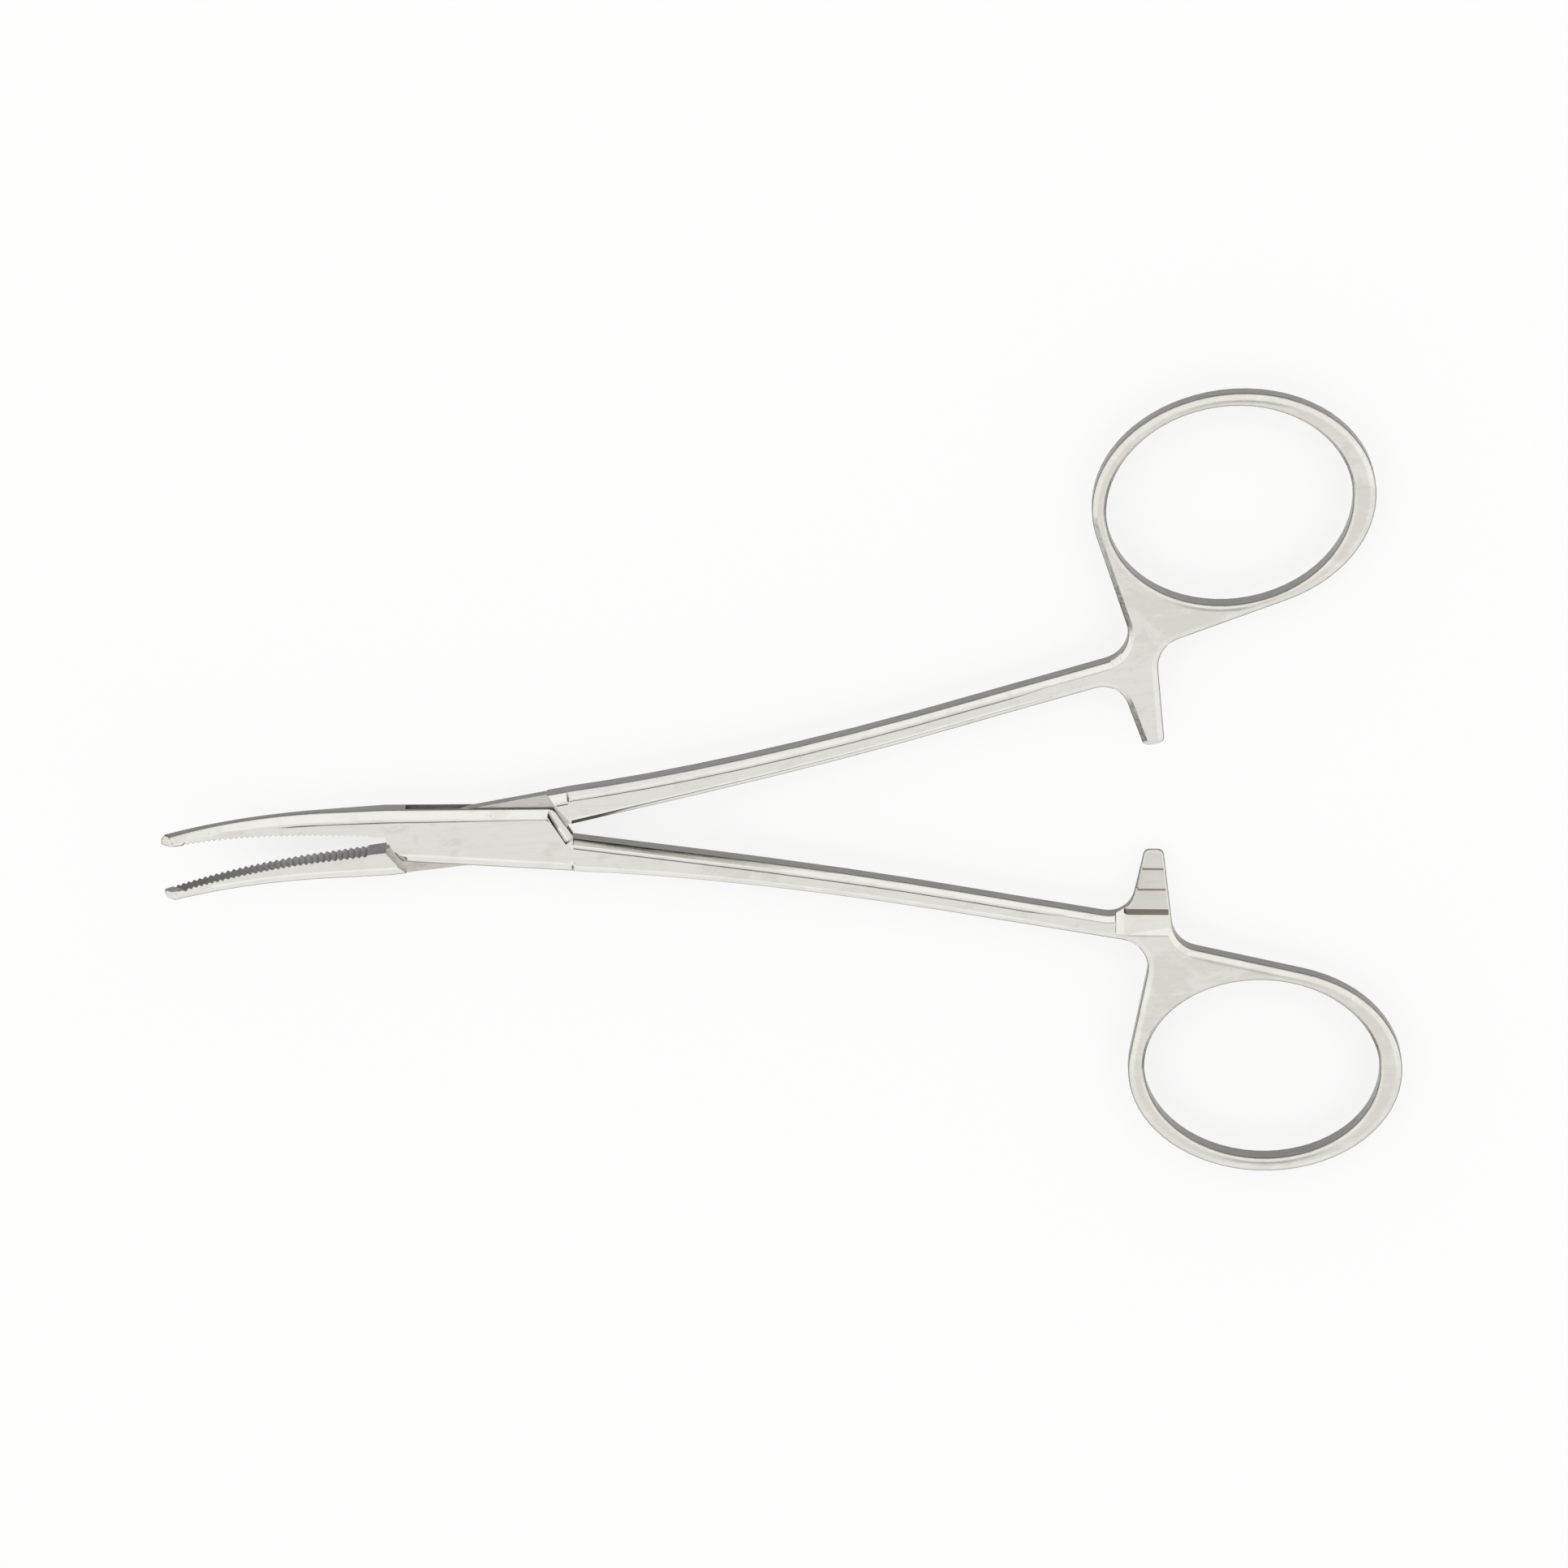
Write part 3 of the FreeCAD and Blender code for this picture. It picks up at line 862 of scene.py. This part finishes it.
@dataclass
class ForgedHalf:
    """One half of the instrument, copied from its CAD node, rounded and given its finishes.

    Attributes:
        node: CAD node that the half stands in for.
        body: Body that it rides on.
        piece_name: Name of the piece.
        closed: Finds the closed place of a point.
        zones: Tells the finish of a face.
        merge_distance: Distance in millimetres within which triangle corners are one point.
        smooth_angle: Largest angle in degrees over which shading runs on.
        normal_weight: How strongly large faces hold the shading level.
    """

    node: str
    body: Body
    piece_name: str
    closed: ClosedPlace
    zones: ZoneRules = ZoneRules()
    merge_distance: float = 0.0005
    smooth_angle: float = 22.0
    normal_weight: int = 100

    def build(self, finishes: dict[Zone, bpy.types.Material]) -> bpy.types.Object:
        """Make the piece and put it in the CAD node's place.

        Args:
            finishes: Material of each zone.

        Returns:
            The finished piece.
        """
        piece = self.merged_copy()
        rounded = CreaseRounding(self.closed).round(piece)
        self.dress(piece, finishes)
        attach(piece, self.body.value)
        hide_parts(self.node)
        log.info("%s: %d edges rounded, %d faces", self.piece_name, rounded, len(piece.data.polygons))
        return piece

    def merged_copy(self) -> bpy.types.Object:
        """Copy the node, join its loose triangles and drop the normals stored with them.

        Returns:
            The copy.
        """
        only(frame["nodes"][self.node])
        bpy.ops.object.duplicate()
        piece = bpy.context.view_layer.objects.active
        piece.name = self.piece_name
        piece.data.name = self.piece_name
        bpy.ops.object.parent_clear(type="CLEAR_KEEP_TRANSFORM")
        bpy.ops.object.mode_set(mode="EDIT")
        bpy.ops.mesh.select_all(action="SELECT")
        bpy.ops.mesh.remove_doubles(threshold=self.merge_distance * MM)
        bpy.ops.mesh.dissolve_degenerate(threshold=self.merge_distance * MM)
        bpy.ops.object.mode_set(mode="OBJECT")
        if piece.data.has_custom_normals:
            bpy.ops.mesh.customdata_custom_splitnormals_clear()
        return piece

    def dress(self, piece: bpy.types.Object, finishes: dict[Zone, bpy.types.Material]) -> None:
        """Give every face its finish and smooth the shading between creases.

        Args:
            piece: The rounded copy.
            finishes: Material of each zone.
        """
        piece.data.materials.clear()
        for zone in Zone:
            piece.data.materials.append(finishes[zone])
        for face in piece.data.polygons:
            face.material_index = self.zones.zone(self.closed.of(face.center), face.normal).value
        only(piece)
        bpy.ops.object.shade_smooth_by_angle(angle=math.radians(self.smooth_angle))
        bpy.ops.object.modifier_add(type="WEIGHTED_NORMAL")
        weighting = piece.modifiers[-1]
        weighting.keep_sharp = True
        weighting.weight = self.normal_weight
        bpy.ops.object.modifier_apply(modifier=weighting.name)


@dataclass
class JointPin:
    """The rivet through the box. Its CAD node has the right shape and stays.

    Attributes:
        node: CAD node of the pin.
    """

    node: str = "joint_pin"

    def dress(self, finish: bpy.types.Material) -> None:
        """Give the pin its finish in place of the node's plain one.

        Args:
            finish: Material of the pin.
        """
        pin = frame["nodes"][self.node]
        pin.data.materials.clear()
        pin.data.materials.append(finish)
        log.info("%s: finished", self.node)


@dataclass
class Studio:
    """Pale floor and a white tent with one dark opening for the lens.

    Attributes:
        roll: Roll of the picture in degrees.
        tilt: Tilt of the lens in degrees.
        floor_span: Side of the floor in metres.
        floor_gap: How far it lies under the instrument, in millimetres.
        floor_colour: Colour of the floor.
        floor_white: How far the floor is plain white to the lens and in reflections.
        tent_colour: Colour of the tent.
        ceiling_strength: Its strength overhead.
        horizon_strength: Its strength at the foot.
        foot_heights: Upward parts of a direction where the foot ends and the ceiling begins.
        opening_angles: Angles from the lens in degrees where the opening ends and where
            its dark is full.
        opening_strength: Strength of the opening, as a share of the tent's.
    """

    roll: float
    tilt: float
    floor_span: float = 6.0
    floor_gap: float = 0.02
    floor_colour: str = "#FFFFFF"
    floor_white: float = 0.78
    tent_colour: str = "#FAFAF8"
    ceiling_strength: float = 0.97
    horizon_strength: float = 1.16
    foot_heights: tuple[float, float] = (0.30, 0.75)
    opening_angles: tuple[float, float] = (12.5, 7.5)
    opening_strength: float = 0.03

    def build(self) -> None:
        """Add the floor and light the world."""
        self.add_floor()
        self.light_world()
        log.info("studio: ready")

    def add_floor(self) -> None:
        """Lay the pale floor under the instrument."""
        bpy.ops.object.select_all(action="DESELECT")
        bpy.ops.mesh.primitive_plane_add(size=self.floor_span, location=(0, 0, -self.floor_gap * MM))
        floor = bpy.context.view_layer.objects.active
        floor.name = "floor"
        paper = bpy.data.materials.new("matt white paper")
        tree = empty_tree(paper)
        matt = add_node(tree, "ShaderNodeBsdfDiffuse", None, {"Color": linear(self.floor_colour)})
        glow = add_node(tree, "ShaderNodeEmission", None, {"Color": (1.0, 1.0, 1.0, 1.0), "Strength": 1.0})
        rays = add_node(tree, "ShaderNodeLightPath")
        seen = add_node(tree, "ShaderNodeMath", {"operation": "ADD"}, {
            0: rays.outputs["Is Camera Ray"], 1: rays.outputs["Is Glossy Ray"]})
        seen = add_node(tree, "ShaderNodeMath", {"operation": "ADD", "use_clamp": True}, {
            0: seen.outputs["Value"], 1: rays.outputs["Is Transmission Ray"]})
        share = add_node(tree, "ShaderNodeMath", {"operation": "MULTIPLY"}, {
            0: seen.outputs["Value"], 1: self.floor_white})
        surface = add_node(tree, "ShaderNodeMixShader", None, {
            0: share.outputs["Value"], 1: matt.outputs["BSDF"], 2: glow.outputs["Emission"]})
        add_node(tree, "ShaderNodeOutputMaterial", None, {"Surface": surface.outputs["Shader"]})
        floor.data.materials.append(paper)

    def lens_direction(self) -> Vector:
        """Find the direction from the instrument to the lens.

        Returns:
            The direction, of length 1.
        """
        tilt = math.radians(self.tilt)
        upright = Vector((0, math.sin(tilt), math.cos(tilt)))
        return Matrix.Rotation(math.radians(-self.roll), 3, "Z") @ upright

    def light_world(self) -> None:
        """Light the tent: even overhead, whiter at its foot, dark round the lens."""
        world = bpy.data.worlds.new("white tent")
        bpy.context.scene.world = world
        tree = empty_tree(world)
        direction = add_node(tree, "ShaderNodeTexCoord").outputs["Generated"]
        height = add_node(tree, "ShaderNodeSeparateXYZ", None, {"Vector": direction}).outputs["Z"]
        level = add_node(tree, "ShaderNodeMapRange", {"interpolation_type": "SMOOTHSTEP"}, {
            "Value": height, "From Min": self.foot_heights[0], "From Max": self.foot_heights[1],
            "To Min": self.horizon_strength, "To Max": self.ceiling_strength})
        toward_lens = add_node(tree, "ShaderNodeVectorMath", {"operation": "DOT_PRODUCT"}, {
            0: direction, 1: tuple(self.lens_direction())})
        edge, dark = (math.cos(math.radians(angle)) for angle in self.opening_angles)
        opening = add_node(tree, "ShaderNodeMapRange", {"interpolation_type": "SMOOTHSTEP"}, {
            "Value": toward_lens.outputs["Value"], "From Min": edge, "From Max": dark,
            "To Min": 1.0, "To Max": self.opening_strength})
        strength = add_node(tree, "ShaderNodeMath", {"operation": "MULTIPLY"}, {
            0: level.outputs["Result"], 1: opening.outputs["Result"]})
        light = add_node(tree, "ShaderNodeBackground", None, {
            "Color": linear(self.tent_colour), "Strength": strength.outputs["Value"]})
        add_node(tree, "ShaderNodeOutputWorld", None, {"Surface": light.outputs["Background"]})


@dataclass
class PictureCamera:
    """Long lens above the instrument, leaned a little up the picture and rolled.

    Attributes:
        tilt: Lean in degrees.
        roll: Roll in degrees.
        mm_per_pixel: Scale of the picture at the instrument.
        picture_pixels: Side of the square picture.
        pivot_pixel: Place of the pivot in the picture.
        pivot: The middle of the box's top face, in millimetres.
        distance: Distance of the lens in millimetres.
        sensor: Side of the sensor in millimetres.
        sight: How far the camera sees, in metres.
    """

    tilt: float = 15.5
    roll: float = 3.75
    mm_per_pixel: float = 0.0802
    picture_pixels: int = 1932
    pivot_pixel: tuple[float, float] = (590.0, 1034.3)
    pivot: tuple[float, float, float] = (0.0, 0.0, 3.9)
    distance: float = 1500.0
    sensor: float = 36.0
    sight: float = 20.0

    def build(self) -> bpy.types.Object:
        """Add the camera and make it the scene's.

        Returns:
            The camera.
        """
        tilt = math.radians(self.tilt)
        roll = Matrix.Rotation(math.radians(-self.roll), 3, "Z")
        right = roll @ Vector((1, 0, 0))
        up = roll @ Vector((0, math.cos(tilt), -math.sin(tilt)))
        back = roll @ Vector((0, math.sin(tilt), math.cos(tilt)))
        across = (self.picture_pixels / 2 - self.pivot_pixel[0]) * self.mm_per_pixel
        above = (self.pivot_pixel[1] - self.picture_pixels / 2) * self.mm_per_pixel
        target = Vector(self.pivot) + right * across + up * above
        bpy.ops.object.select_all(action="DESELECT")
        bpy.ops.object.camera_add(location=(target + back * self.distance) * MM)
        camera = bpy.context.view_layer.objects.active
        camera.name = "picture_camera"
        camera.rotation_euler = Matrix((right, up, back)).transposed().to_euler()
        camera.data.sensor_width = self.sensor
        camera.data.lens = self.sensor * self.distance / (self.picture_pixels * self.mm_per_pixel)
        camera.data.clip_end = self.sight
        bpy.context.scene.camera = camera
        log.info("camera: %.0f mm lens", camera.data.lens)
        return camera


def main() -> None:
    """Build the pieces in order, then the studio and the camera."""
    logging.basicConfig(level=logging.INFO, format="%(name)s: %(message)s")
    bpy.context.scene.view_settings.view_transform = "Standard"
    finishes = {
        Zone.BUFFED: BUFFED_STEEL.build(),
        Zone.FLANK: SIDE_WALL_PAINTED_SHADE.build(),
        Zone.MILLED: MILLED_STEEL.build(),
        Zone.GRIP: GRIP_TEETH_PAINTED_SHADE.build(),
        Zone.CATCH: CATCH_STEEL.build(),
        Zone.CATCH_WALL: CATCH_WALL_PAINTED_SHADE.build(),
    }
    halves = (
        ForgedHalf("female_half", Body.FEMALE, "female_half_steel",
                   ClosedPlace(open_turn=-HALF_OPENING, mirrored=False)),
        ForgedHalf("male_half", Body.MALE, "male_half_steel",
                   ClosedPlace(open_turn=HALF_OPENING, mirrored=True)),
    )
    for half in halves:
        half.build(finishes)
    JointPin().dress(PIN_STEEL.build())
    camera = PictureCamera()
    camera.build()
    Studio(roll=camera.roll, tilt=camera.tilt).build()


if __name__ == "__main__":
    main()
